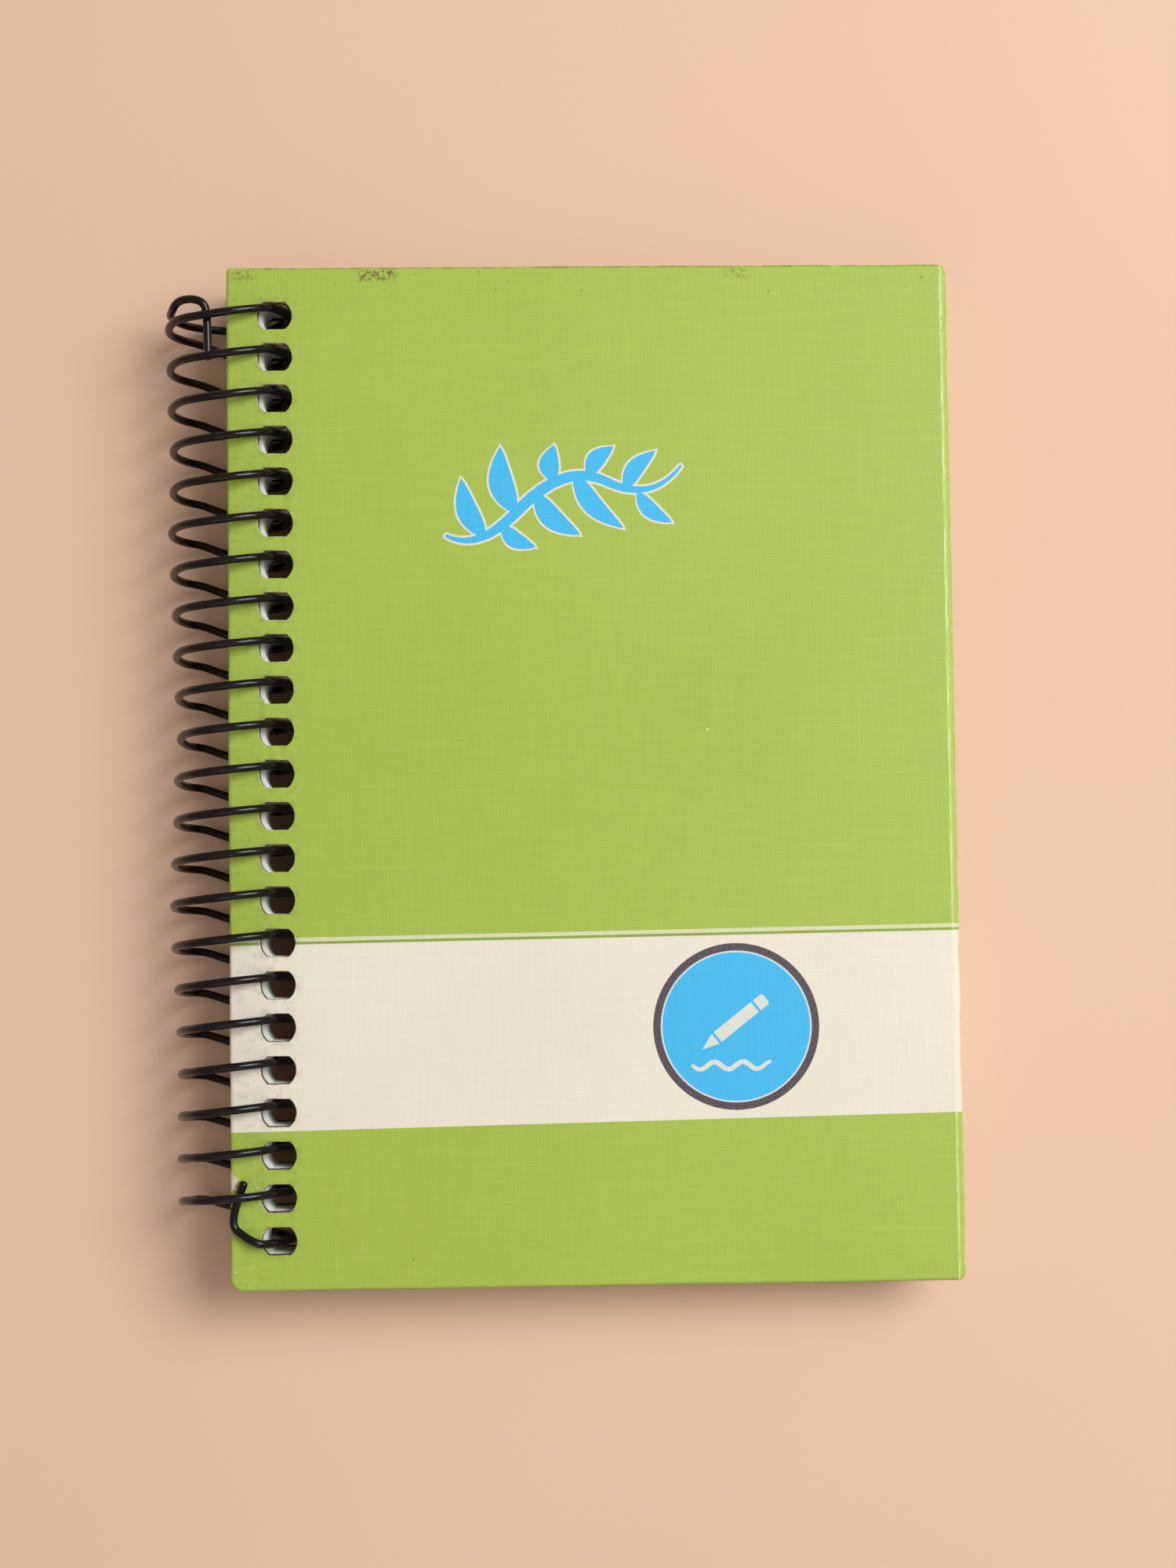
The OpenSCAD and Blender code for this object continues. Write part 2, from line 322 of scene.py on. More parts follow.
    # the fold line just inside the fore-edge, drawn as a painted highlight along the crease
    wav = n.mul(n.sub(n.noise(n.scaled(0.0, 0.35, 0.0), 1.0, 4.0, 0.7), 0.5), 0.55)
    fold_highlight_dist = n.m("ABSOLUTE", n.sub(n.add(n.sub(W, px), wav), 0.98))
    fold_highlight_amount = n.ramp(n.noise(n.scaled(0.0, 0.13, 0.0, (0.0, 3.3, 0.0)), 1.0, 3.0, 0.6), 0.35, 0.62, 0.25, 1.0)
    col = n.mix(n.mul(n.mul(n.ramp(fold_highlight_dist, 0.03, 0.24, 1.0, 0.0), fold_highlight_amount), 0.72), col, srgb(226, 234, 180))
    if front:
        # a dark crescent crease 9.4 mm below the head at the fore-edge: painted shade in the crease
        nx, ny = n.mul(n.sub(n.sub(W, px), 0.6), 1.0), n.sub(py, 9.4)
        nd = n.m("ABSOLUTE", n.sub(n.m("SQRT", n.add(n.mul(n.mul(nx, nx), 3.2), n.mul(ny, ny))), 1.15))
        crease_arc_shade = n.mul(n.ramp(nd, 0.03, 0.16, 1.0, 0.0), n.ramp(n.sub(W, px), 0.55, 0.75))
        col = n.mix(n.mul(crease_arc_shade, 0.6), col, srgb(108, 128, 50))
    if front:
        # scuffed tail corner at the spine, and the patch the wire's end scrapes
        cx, cy = n.sub(px, 1.0), n.sub(H - 1.0, py)
        dc = n.m("SQRT", n.add(n.mul(cx, cx), n.mul(cy, cy)))
        scr = n.noise(n.scaled(0.5, 3.2, 1.0, (0.0, 0.0, 0.0)), 1.0, 3.0, 0.7, 0.6)
        col = n.mix(n.mul(n.mul(n.ramp(dc, 1.2, 4.5, 1.0, 0.0), n.ramp(scr, 0.56, 0.66)), 0.5), col, srgb(222, 228, 182))
        sx, sy = n.sub(px, 3.4), n.sub(py, 139.9)
        ds = n.m("SQRT", n.add(n.mul(sx, sx), n.mul(n.mul(sy, sy), 1.6)))
        scr2 = n.noise(n.scaled(2.6, 0.9, 1.0, (5.0, 2.0, 0.0)), 1.0, 4.0, 0.75, 0.8)
        col = n.mix(n.mul(n.mul(n.ramp(ds, 1.0, 3.4, 1.0, 0.0), n.ramp(scr2, 0.55, 0.63)), 0.75), col, srgb(226, 230, 206))
        tx, ty = n.sub(px, 0.0), n.sub(py, 138.35)
        dt = n.m("SQRT", n.add(n.mul(tx, tx), n.mul(ty, ty)))
        torn = n.mul(n.ramp(n.add(dt, n.mul(n.sub(fray, 0.5), 2.6)), 1.05, 1.2, 1.0, 0.0), 0.95)
        col = n.mix(torn, col, n.mix(n.ramp(scr2, 0.4, 0.6), srgb(222, 196, 184), srgb(240, 226, 214)))
    col = specks(n, col, 0.0 if front else 13.0)
    rough = n.add(0.46, n.mul(n.sub(n.noise(scale=0.5, detail=3.0), 0.5), 0.16))
    rough = n.add(rough, n.mul(worn, 0.2))
    nrm = n.bump(h, 0.55, 1.0)
    wrinkle = n.noise(n.scaled(0.25, 0.25, 0.25), 1.0, 3.0, 0.55)
    nrm = n.bump(wrinkle, 0.18, 0.12, nrm)
    return n.set(Base_Color=col, Roughness=rough, Normal=nrm, Specular_IOR_Level=0.42)


def print_material(name, colour):
    """Ink on the same embossed paper."""
    n = Nodes(name)
    f, h = linen(n)
    return n.set(Base_Color=n.shade(colour, f), Roughness=0.46, Normal=n.bump(h, 0.55, 1.0), Specular_IOR_Level=0.42)


def board_material():
    n = Nodes("pulp_board")
    a = n.noise(n.scaled(0.7, 0.7, 5.0), 1.0, 5.0, 0.7, 0.4)
    b = n.noise(n.scaled(3.0, 3.0, 9.0, (3.0, 1.0, 0.0)), 1.0, 3.0, 0.7)
    col = n.mix(n.ramp(a, 0.32, 0.68), srgb(104, 84, 66), srgb(160, 138, 112))
    col = n.mix(n.ramp(b, 0.58, 0.70, 0.0, 0.6), col, srgb(196, 180, 156))
    col = n.mix(n.ramp(b, 0.36, 0.28, 0.0, 0.7), col, srgb(66, 54, 44))
    return n.set(Base_Color=col, Roughness=0.92, Normal=n.bump(n.add(a, b), 0.9, 0.25), Specular_IOR_Level=0.2)


def shaded_board_material():
    """The board as it shows deep in the back cover's holes, made darker as painted shade."""
    n = Nodes("pulp_board_painted_shade")
    a = n.noise(n.scaled(1.2, 1.2, 4.0), 1.0, 4.0, 0.7)
    return n.set(Base_Color=n.mix(n.ramp(a, 0.35, 0.65), srgb(34, 27, 23), srgb(62, 50, 42)), Roughness=0.9, Normal=n.bump(a, 0.8, 0.2), Specular_IOR_Level=0.15)


def paper_material(name, ruled):
    n = Nodes(name)
    fib = n.noise(scale=1.4, detail=5.0, rough=0.7)
    cloud = n.noise(scale=0.06, detail=2.0)
    col = n.mix(n.ramp(cloud, 0.3, 0.7), srgb(232, 236, 224), srgb(238, 240, 231))
    col = n.shade(col, n.add(0.975, n.mul(n.sub(fib, 0.5), 0.09)))
    if ruled:
        py = n.sub(Y1 - 3.0, n.y)                 # from the leaf's head
        px = n.sub(n.x, X0)
        ph = n.sub(n.m("WRAP", n.sub(py, 19.5), 7.0, 0.0), 3.5)
        rule = n.ramp(n.m("ABSOLUTE", ph), 0.07, 0.12, 1.0, 0.0)
        inside = n.mul(n.ramp(py, 22.9, 22.95), n.ramp(py, 143.0, 143.05, 1.0, 0.0))
        head = n.ramp(n.m("ABSOLUTE", n.sub(py, 16.0)), 0.14, 0.19, 1.0, 0.0)
        lines = n.mul(n.mx(n.mul(rule, inside), head), n.ramp(px, 12.4, 12.45))
        c = n.t.nodes.new("ShaderNodeTexCoord")      # only on the faces, not on the cut edges
        s = n.t.nodes.new("ShaderNodeSeparateXYZ")
        n.t.links.new(c.outputs["Normal"], s.inputs[0])
        lines = n.mul(lines, n.m("GREATER_THAN", n.m("ABSOLUTE", s.outputs[2]), 0.5))
        col = n.mix(n.mul(lines, 0.62), col, srgb(150, 172, 186))
    else:
        rough = n.noise(n.scaled(0.6, 0.6, 0.6, (9.0, 0.0, 0.0)), 1.0, 4.0, 0.6)
        col = n.mix(n.ramp(rough, 0.55, 0.75, 0.0, 0.12), col, srgb(214, 206, 182))
    return n.set(Base_Color=col, Roughness=0.78, Normal=n.bump(fib, 0.35, 0.05), Specular_IOR_Level=0.25)


def wire_material():
    n = Nodes("coated_wire")
    a = n.noise(scale=0.9, detail=4.0, rough=0.6)
    b = n.noise(n.scaled(2.4, 2.4, 2.4, (1.0, 5.0, 2.0)), 1.0, 3.0, 0.6)
    col = n.mix(n.ramp(a, 0.35, 0.65), srgb(13, 10, 11), srgb(21, 17, 18))
    dust = n.ramp(b, 0.64, 0.78, 0.0, 0.16)
    col = n.mix(dust, col, srgb(84, 70, 64))
    rough = n.add(0.19, n.mul(n.sub(a, 0.5), 0.16))
    return n.set(Base_Color=col, Roughness=rough, Normal=n.bump(n.add(a, n.mul(b, 0.4)), 0.25, 0.10), Specular_IOR_Level=0.36)


FRONT = cover_material("front_cover_paper", True)
BACK = cover_material("back_cover_paper", False)
BOARD = board_material()
# a darker copy of the board: painted shade for the deep holes
SHADED_BOARD = shaded_board_material()
LINING = paper_material("lining_paper", False)
LEAF = paper_material("leaf_paper", True)
WIREM = wire_material()
INK_BLUE = print_material("print_blue", BLUE)
INK_PALE = print_material("print_pale", PALE)
INK_WHITE = print_material("print_white", srgb(222, 226, 216))


# ---------------------------------------------------------------- geometry
def smooth_noise(n, step, amp, rs, octaves=2):
    """Closed 1-D noise over n points, with features about step points long."""
    out = np.zeros(n)
    for o in range(octaves):
        k = max(3, int(n / step * 2 ** o))
        v = rs.normal(0, 1, k)
        t = np.arange(n) / n * k
        i = np.floor(t).astype(int)
        f = t - i
        f = f * f * (3 - 2 * f)
        out += (v[i % k] * (1 - f) + v[(i + 1) % k] * f) * amp / 2 ** o
    return out


def rounded(x0, x1, y0, y1, radii, step):
    """Counter-clockwise outline. radii: corners at (x1,y1), (x0,y1), (x0,y0), (x1,y0)."""
    pts = []
    corners = [(x1, y1, 0, radii[0]), (x0, y1, 90, radii[1]), (x0, y0, 180, radii[2]), (x1, y0, 270, radii[3])]
    for c, (cx, cy, a0, r) in enumerate(corners):
        sx, sy = (1 if cx == x1 else -1), (1 if cy == y1 else -1)
        ox, oy = cx - sx * r, cy - sy * r
        for k in range(7):
            a = math.radians(a0 + 15 * k)
            pts.append((ox + r * math.cos(a), oy + r * math.sin(a)))
        nx = corners[(c + 1) % 4]
        nsx, nsy, nr = (1 if nx[0] == x1 else -1), (1 if nx[1] == y1 else -1), nx[3]
        a = math.radians(nx[2])
        end = (nx[0] - nsx * nr + nr * math.cos(a), nx[1] - nsy * nr + nr * math.sin(a))
        start = pts[-1]
        d = math.dist(start, end)
        for k in range(1, int(d / step)):
            t = k / int(d / step)
            pts.append((start[0] + (end[0] - start[0]) * t, start[1] + (end[1] - start[1]) * t))
    return np.array(pts)


def punch_outline(i, r=2.6, half=2.05, grow=0.0, seg=9):
    """The hole's outline, counter-clockwise: round left and right ends, flat head and foot."""
    r, half = r + grow, half + grow
    a = math.degrees(math.asin(half / r))
    pts = [(r * math.cos(math.radians(t)), r * math.sin(math.radians(t))) for t in np.linspace(-a, a, seg)]
    x = pts[-1][0]
    pts += [(x * (1 - 2 * t), half) for t in (0.25, 0.5, 0.75)]
    pts += [(-p[0], -p[1]) for p in pts]
    return np.array(pts) + (HX, hole_y(i))


def normals(P):
    """Outward normals of a counter-clockwise loop."""
    d = np.roll(P, -1, 0) - np.roll(P, 1, 0)
    n = np.stack([d[:, 1], -d[:, 0]], 1)
    return n / np.linalg.norm(n, axis=1)[:, None]


def tess(loops):
    """Triangles over flat loops: the first is the outside, the rest are holes."""
    return tessellate_polygon([[Vector((p[0], p[1], 0)) for p in L] for L in loops])


def slab(name, outer, inner, mats, smooth=True, lip=()):
    """A plate. outer and inner hold, for each outline, a list of (loop, z) rings from the lower face to the upper one.
    z is a number or one per point. Hole walls get material 1 if there is one, but for the strips in lip."""
    verts, faces, slot, flat = [], [], [], []
    base = []

    def rings(stack, hole):
        ids = []
        for loop, z in stack:
            ids.append(len(verts))
            zz = np.broadcast_to(z, (len(loop),))
            verts.extend((p[0], p[1], q) for p, q in zip(loop, zz))
        n = len(stack[0][0])
        for j, (a, b) in enumerate(zip(ids, ids[1:])):
            for k in range(n):
                k2 = (k + 1) % n
                q = (a + k, a + k2, b + k2, b + k)
                faces.append(q[::-1] if hole else q)
                slot.append(1 if hole and len(mats) > 1 and j not in lip else 0)
                flat.append(False)
        return ids[0], ids[-1], n

    made = [rings(outer, False)] + [rings(s, True) for s in inner]
    for which, flip in ((0, True), (1, False)):
        loops = [outer[0 if which == 0 else -1][0]] + [s[0 if which == 0 else -1][0] for s in inner]
        index = [m[which] + k for m in made for k in range(m[2])]
        for t in tess(loops):
            q = [index[k] for k in t]
            a, b, c = (np.array(verts[k][:2]) for k in q)
            ccw = (b[0] - a[0]) * (c[1] - a[1]) - (b[1] - a[1]) * (c[0] - a[0]) > 0
            if ccw == flip:
                q = q[::-1]
            faces.append(tuple(q))
            slot.append(0)
            flat.append(True)
    me = bpy.data.meshes.new(name)
    me.from_pydata([tuple(c * MM for c in v) for v in verts], [], faces)
    for m in mats:
        me.materials.append(m)
    me.polygons.foreach_set("material_index", slot)
    me.polygons.foreach_set("use_smooth", [smooth and not f for f in flat])
    me.update()
    ob = bpy.data.objects.new(name, me)
    bpy.context.scene.collection.objects.link(ob)
    return ob


def cover(name, mats, z_in, z_out, seed, front):
    """A cased cover: the wrap rounds over the board's edges, dents along the fore-edge, and its holes are torn a little."""
    rs = np.random.default_rng(seed)
    radii = (1.0, 0.7, 1.9 if front else 1.5, 1.3)
    base = rounded(X0, X1, Y0, Y1, radii, 0.55)
    n = len(base)
    N = normals(base)
    fore = np.clip((base[:, 0] - (X1 - 1.5)) / 1.2, 0, 1)            # 1 along the fore-edge
    side = smooth_noise(n, 26, 0.035, rs) + smooth_noise(n, 5, 0.012, rs)
    crinkle = smooth_noise(n, 7, 0.075, rs, 3) * fore
    notch = np.exp(-((base[:, 1] - (Y1 - 9.4)) / 1.0) ** 2) * fore * (1.0 if front else 0.0)
    soft = smooth_noise(n, 60, 0.03, rs)
    up = 1 if z_out > z_in else -1
    z0, z1 = z_in, z_out
    # (inset, distance in from the outer face)
    outer_profile = [(1.30, 0.0), (1.08, -0.012), (0.86, 0.03), (0.60, 0.085), (0.36, 0.17), (0.17, 0.32), (0.05, 0.54), (0.0, 0.80)]
    edge = []
    for j, (inset, down) in enumerate(outer_profile):
        on_fore = np.clip(fore, 0, 1)
        ins = inset * (0.45 + 0.55 * on_fore)                          # the roll is wider at the fore-edge
        wob = side * (1 - inset / 1.3) + crinkle * (1 - inset / 1.3) - 0.15 * notch * math.exp(-((inset - 0.1) / 0.5) ** 2)
        push = np.minimum(wob, 0.05)
        z = down * (0.55 + 0.45 * on_fore) + np.abs(crinkle) * 0.45 * (1 if 0.1 < inset < 1.2 else 0) + 0.14 * notch * (1 if inset < 1.2 else 0) * (1 if inset > 0.1 else 0)
        edge.append((base - N * ins[:, None] + N * push[:, None], z1 - up * (z if inset < 1.29 else z * 0)))
    t = abs(z1 - z0)
    low = [(0.0, 0.34), (0.05, 0.16), (0.15, 0.06), (0.32, 0.0)]
    under = [(base - N * i + N * np.minimum(side * 0.5, 0.05)[:, None], z0 + up * d) for i, d in low]
    stack = edge + under                                              # outer face to inner face
    rings = stack[::-1] if up > 0 else stack
    holes = []
    for i in range(HOLES):
        ragged = rs.normal(0, 1, 24)
        def ring(grow, noise):
            P = punch_outline(i, grow=grow)
            Nn = normals(P)
            m = len(P)
            return P + Nn * (np.resize(ragged, m) * noise)[:, None]
        s = [(ring(0.15, 0.030), z1), (ring(0.07, 0.030), z1 - up * 0.035), (ring(0.03, 0.012), z1 - up * 0.12),
             (ring(0.02, 0.0), z1 - up * 0.30), (ring(0.02, 0.0), z0 + up * 0.05), (ring(0.05, 0.0), z0)]
        holes.append(s[::-1] if up > 0 else s)
    return slab(name, rings, holes, mats, lip=(3, 4) if up > 0 else (0, 1))


front = cover("front_cover_wrap", [FRONT, BOARD], ZI + 0.002, ZO, 5, True)
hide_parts("front_wrap")
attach(front, "front_cover")
# the back cover's hole walls take the darker board, as painted shade
back = cover("back_cover_wrap", [BACK, SHADED_BOARD], bhi[2] - 0.002, blo[2], 6, False)
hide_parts("back_wrap")
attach(back, "base")



def stiff_board(name, node, body, mat, z_in, z_out):
    """The board inside a cover, which shows only in the holes."""
    up = 1 if z_out > z_in else -1
    a, b = sorted((z_in + up * 0.12, z_out - up * 0.24))
    loop = rounded(X0 + 1.2, X1 - 1.6, Y0 + 1.2, Y1 - 1.2, (1.0, 1.0, 1.0, 1.0), 6.0)
    ob = slab(name, [(loop, a), (loop, b)], [[(punch_outline(i), a), (punch_outline(i), b)] for i in range(HOLES)], [mat])
    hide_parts(node)
    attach(ob, body)


stiff_board("front_cover_board", "front_board", "front_cover", BOARD, ZI + 0.002, ZO)
# the back board, seen only deep in the holes, takes the darker board as painted shade
stiff_board("back_cover_board", "back_board", "base", SHADED_BOARD, bhi[2] - 0.002, blo[2])

# ---- coil
# how far each turn stands out past the spine, as a part of the coil's radius: it has been knocked about
OUT = (1.03, 1.01, 0.99, 0.96, 0.965, 0.99, 0.96, 0.93, 0.915, 0.885, 0.85, 0.90, 0.915, 0.955, 0.975, 0.955, 0.91, 0.875, 0.855, 0.86, 0.865, 0.845)


def herm(a, b, t):
    h = b[0] - a[0]
    return ((2 * t**3 - 3 * t**2 + 1) * a[1] + (t**3 - 2 * t**2 + t) * h * a[2]
            + (-2 * t**3 + 3 * t**2) * b[1] + (t**3 - t**2) * h * b[2])


def along(tab, f):
    """Smooth curve through (angle, value) pairs without overshoot."""
    k = 0
    while k < len(tab) - 2 and f > tab[k + 1][0]:
        k += 1
    d = [(q[1] - p[1]) / (q[0] - p[0]) for p, q in zip(tab, tab[1:])]
    m = lambda i: 0.0 if i in (0, len(d)) or d[i - 1] * d[i] <= 0 else 2 * d[i - 1] * d[i] / (d[i - 1] + d[i])
    a, b = tab[k], tab[k + 1]
    return herm((a[0], a[1], m(k)), (b[0], b[1], m(k + 1)), min(max((f - a[0]) / (b[0] - a[0]), 0.0), 1.0))


def in_hole(i):
    """Where the wire stands in hole i, from its middle: on the head side but for the last few."""
    return float(np.interp(i, [0, 17, 19, 20, 21, 22], [1.26, 1.26, 1.15, 1.0, 0.7, -0.25]))


def coil_point(a):
    """Centre of the wire at total angle a, in mm in the row frame."""
    turn = math.floor((a + 45) / 360)
    f = a - 360 * turn
    h, nxt = in_hole(turn), in_hole(turn + 1) - 0.1 - PITCH
    yh = hole_y(turn)
    over = float(np.interp(turn, [0, 4, 10, 16, 22], [-0.62, -0.45, -0.18, -0.22, -0.30]))       # where the strand comes to the turn's far side
    # seen from above the strand comes straight out of the hole, then swings round towards the tail
    u = along([(-46, h - 0.1), (-20, h - 0.05), (20, h), (44, h - 0.02), (150, over), (180, (over - 1.3) / 2 - 0.08), (205, -1.17), (231, -1.33),
               (252, -2.2), (274, -3.4), (298, nxt + 0.42), (315, nxt)], f)
    if 44 < f < 150:
        c = lambda q: math.cos(math.radians(q))
        t = (c(44) - c(f)) / (c(44) - c(150))
        u = h - 0.02 + (over - h + 0.02) * (0.82 * t + 0.18 * t * t)
        u -= 0.8 * max(yh + 22.5, 0) / 384 * COIL_R * max(math.sin(math.radians(f)) - math.sin(math.radians(44)), 0)
    y = yh + u
    if turn < 0:                                   # the free end
        y = hole_y(0) + along([(-180, 1.27), (-129, 1.26), (-90, 1.24), (-45, in_hole(0) - 0.1)], a)
    ca, sa = math.cos(math.radians(a)), math.sin(math.radians(a))
    squash = 1.0
    if turn >= 0 and ca < 0:
        squash += (OUT[min(turn, 21)] - 1) * float(np.interp(f, [90, 135, 196, 226], [0.0, 1.0, 1.0, 0.0]))
    return (AX + COIL_R * ca * squash, y, AZ + COIL_R * sa)


def smooth_route(pts, n=8):
    """Catmull-Rom through the points."""
    P = [np.array(p, float) for p in pts]
    P = [2 * P[0] - P[1]] + P + [2 * P[-1] - P[-2]]
    out = []
    for i in range(1, len(P) - 2):
        for k in range(n):
            t = k / n
            out.append(0.5 * ((2 * P[i]) + (-P[i - 1] + P[i + 1]) * t
                              + (2 * P[i - 1] - 5 * P[i] + 4 * P[i + 1] - P[i + 2]) * t**2
                              + (-P[i - 1] + 3 * P[i] - 3 * P[i + 1] + P[i + 2]) * t**3))
    out.append(P[-2])
    return out


y0, y22 = hole_y(0), hole_y(22)
head = [(-2.45, y0 - 6.7, 7.10), (-2.48, y0 - 4.8, 7.08), (-2.52, y0 - 2.6, 7.08), (-2.58, y0 - 0.7, 7.1), (-2.70, y0 + 0.5, 7.18),
        (-2.95, y0 + 1.35, 7.32), (-3.5, y0 + 1.92, 7.4), (-4.4, y0 + 2.27, 7.3), (-5.35, y0 + 2.42, 6.95), (-6.3, y0 + 2.42, 6.4),
        (-7.05, y0 + 2.28, 5.8), (-7.62, y0 + 1.95, 5.22), (-8.1, y0 + 1.52, 4.4), (-8.54, y0 + 1.27, 3.0), (-8.86, y0 + 1.25, 1.6)]
tail = [(4.6, y22 - 0.12, 7.62), (3.8, y22 + 0.2, 7.68), (2.95, y22 + 0.65, 7.5), (2.1, y22 + 1.2, 7.24), (1.35, y22 + 1.75, 7.06),
        (0.9, y22 + 2.4, 6.98), (0.8, y22 + 3.4, 6.95), (0.98, y22 + 4.6, 6.94), (1.5, y22 + 6.3, 6.94), (2.35, y22 + 8.8, 6.95)]
place = lambda p: (AX + p[0], p[1], AZ + p[2])
line = [place(p) for p in head]
mid = [coil_point(a) for a in np.arange(-172, 54 + 360 * 22, 8.0)]
line = smooth_route(line + mid[:1], 6)[:-1] + mid
line = line + smooth_route([coil_point(54 + 360 * 22)] + [place(p) for p in tail], 6)


def tube(name, line, r, sides, mat):
    P = np.array(line, float)
    keep = np.r_[True, np.linalg.norm(np.diff(P, axis=0), axis=1) > 1e-4]
    P = P[keep]
    T = np.gradient(P, axis=0)
    T /= np.linalg.norm(T, axis=1)[:, None]
    n = np.cross(T[0], (0, 0, 1.0))
    n /= np.linalg.norm(n)
    verts, faces = [], []

    def ring(p, t, nn, rad):
        b = np.cross(t, nn)
        for s in range(sides):
            a = 2 * math.pi * s / sides
            verts.append(tuple((p + rad * (math.cos(a) * nn + math.sin(a) * b)) * MM))

    caps = [(-1, [(0.42, 0.0), (0.80, 0.10), (0.96, 0.24)]), (1, [(0.96, 0.24), (0.80, 0.10), (0.42, 0.0)])]
    frames = []
    for p, t in zip(P, T):
        n = n - np.dot(n, t) * t
        n /= np.linalg.norm(n)
        frames.append((p, t, n))
    # cut ends, slightly rounded
    p, t, nn = frames[0]
    for k, back_ in caps[0][1]:
        ring(p - t * (0.28 - back_) * r / r, t, nn, r * k)
    for p, t, nn in frames:
        ring(p, t, nn, r)
    p, t, nn = frames[-1]
    for k, back_ in caps[1][1]:
        ring(p + t * (0.28 - back_), t, nn, r * k)
    m = len(verts) // sides
    for i in range(m - 1):
        for s in range(sides):
            s2 = (s + 1) % sides
            faces.append((i * sides + s, i * sides + s2, (i + 1) * sides + s2, (i + 1) * sides + s))
    faces.append(tuple(range(sides))[::-1])
    faces.append(tuple((m - 1) * sides + s for s in range(sides)))
    me = bpy.data.meshes.new(name)
    me.from_pydata(verts, [], faces)
    me.materials.append(mat)
    me.polygons.foreach_set("use_smooth", [True] * len(faces))
    me.update()
    ob = bpy.data.objects.new(name, me)
    bpy.context.scene.collection.objects.link(ob)
    return ob


coil = tube("wire_coil", line, WIRE / 2, 14, WIREM)
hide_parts("coil", "coil_end_top", "coil_end_bottom")
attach(coil, "base")


# ---- leaves: each a sheet of its own, knocked up almost square
HANG = 0.45


def leaf_stack(name, node, body, seed):
    rs = np.random.default_rng(seed)
    o = frame["nodes"][node]
    co = np.array([v.co for v in o.data.vertices]) * 1000
    zs = np.unique(np.round(co[:, 2], 4))
    x0, x1, y0_, y1_ = co[:, 0].min(), co[:, 0].max(), co[:, 1].min(), co[:, 1].max()
    verts, faces = [], []
    outline = rounded(x0, x1, y0_, y1_, (0.6, 0.6, 0.6, 0.6), 6.0)
    holes = [punch_outline(i, seg=7) for i in range(HOLES)]
    tris = None
    for k in range(len(zs) // 2):
        z0, z1 = zs[2 * k], zs[2 * k + 1]
        # the leaves hang a little out on the coil, each its own way
        dx, dy, yaw = HANG + np.clip(rs.normal(0, 0.05), -0.1, 0.1), np.clip(rs.normal(0, 0.04), -0.08, 0.08), np.clip(rs.normal(0, 0.0003), -0.0006, 0.0006)
        moved = lambda L: L + np.stack([dx - yaw * L[:, 1], dy + yaw * (L[:, 0] - HX)], 1)
        loops = [moved(L) for L in [outline] + holes]
        if tris is None:
            tris = tess(loops)
            sizes = [len(L) for L in loops]
            total = sum(sizes)
            flat2 = np.concatenate(loops)
            fix = []
            for t in tris:
                a, b, c = (flat2[q] for q in t)
                ccw = (b[0] - a[0]) * (c[1] - a[1]) - (b[1] - a[1]) * (c[0] - a[0]) > 0
                fix.append(t if ccw else t[::-1])
            tris = fix
        flat2 = np.concatenate(loops)
        s = len(verts)
        for z in (z0, z1):
            verts.extend((p[0] * MM, p[1] * MM, z * MM) for p in flat2)
        faces.extend((s + c, s + b, s + a) for a, b, c in tris)
        faces.extend((s + total + a, s + total + b, s + total + c) for a, b, c in tris)
        at = 0
        for j, L in enumerate(loops):
            n = len(L)
            for q in range(n):
                a, b = s + at + q, s + at + (q + 1) % n
                f = (a, b, b + total, a + total)
                faces.append(f if j == 0 else f[::-1])
            at += n
    me = bpy.data.meshes.new(name)
    me.from_pydata(verts, [], faces)
    me.materials.append(LEAF)
    me.update()
    ob = bpy.data.objects.new(name, me)
    bpy.context.scene.collection.objects.link(ob)
    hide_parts(node)
    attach(ob, body)
    return ob


for k, (node, body) in enumerate((("first_leaf", "first_leaf"), ("leaf_pack_1", "leaves_2_12"), ("leaf_pack_2", "leaves_13_24"),
                                  ("leaf_pack_3", "leaves_25_36"), ("leaf_pack_4", "leaves_37_48"), ("leaf_pack_5", "leaves_49_60"))):
    leaf_stack(node + "_sheets", node, body, 100 + k)

# ---- the CAD nodes that stay take their materials
for node, mat in (("front_endpaper", LINING), ("back_endpaper", LINING)):
    o = frame["nodes"][node]
    o.data.materials.clear()
    o.data.materials.append(mat)


# ---------------------------------------------------------------- print on the front
def flat_shape(name, loops, z, mat, body="front_cover", thick=0.006):
    """Filled outline(s) in cover coordinates: x from the spine edge, y down from the head."""
    verts, faces = [], []
    for order, L in enumerate(loops):                # laid one over another, like ink
        P = np.array([(X0 + p[0], Y1 - p[1]) for p in L])
        area = 0.5 * np.sum(P[:, 0] * np.roll(P[:, 1], -1) - np.roll(P[:, 0], -1) * P[:, 1])
        if area < 0:
            P = P[::-1]
        s = len(verts)
        n = len(P)
        verts += [(p[0] * MM, p[1] * MM, (z + 0.0015 * order) * MM) for p in P]
        for t in tess([P]):
            a, b, c = (P[q] for q in t)
            ccw = (b[0] - a[0]) * (c[1] - a[1]) - (b[1] - a[1]) * (c[0] - a[0]) > 0
            t = t if ccw else t[::-1]
            faces.append(tuple(s + q for q in t))
    me = bpy.data.meshes.new(name)
    me.from_pydata(verts, [], faces)
    me.materials.append(mat)
    me.update()
    ob = bpy.data.objects.new(name, me)
    bpy.context.scene.collection.objects.link(ob)
    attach(ob, body)
    return ob


def bez(p, n=24):
    p = [np.array(q, float) for q in p]
    out = []
    for i in range(0, len(p) - 1, 3):
        a, b, c, d = p[i:i + 4]
        for k in range(n):
            t = k / n
            out.append((1 - t)**3 * a + 3 * (1 - t)**2 * t * b + 3 * (1 - t) * t * t * c + t**3 * d)
    out.append(p[-1])
    return np.array(out)


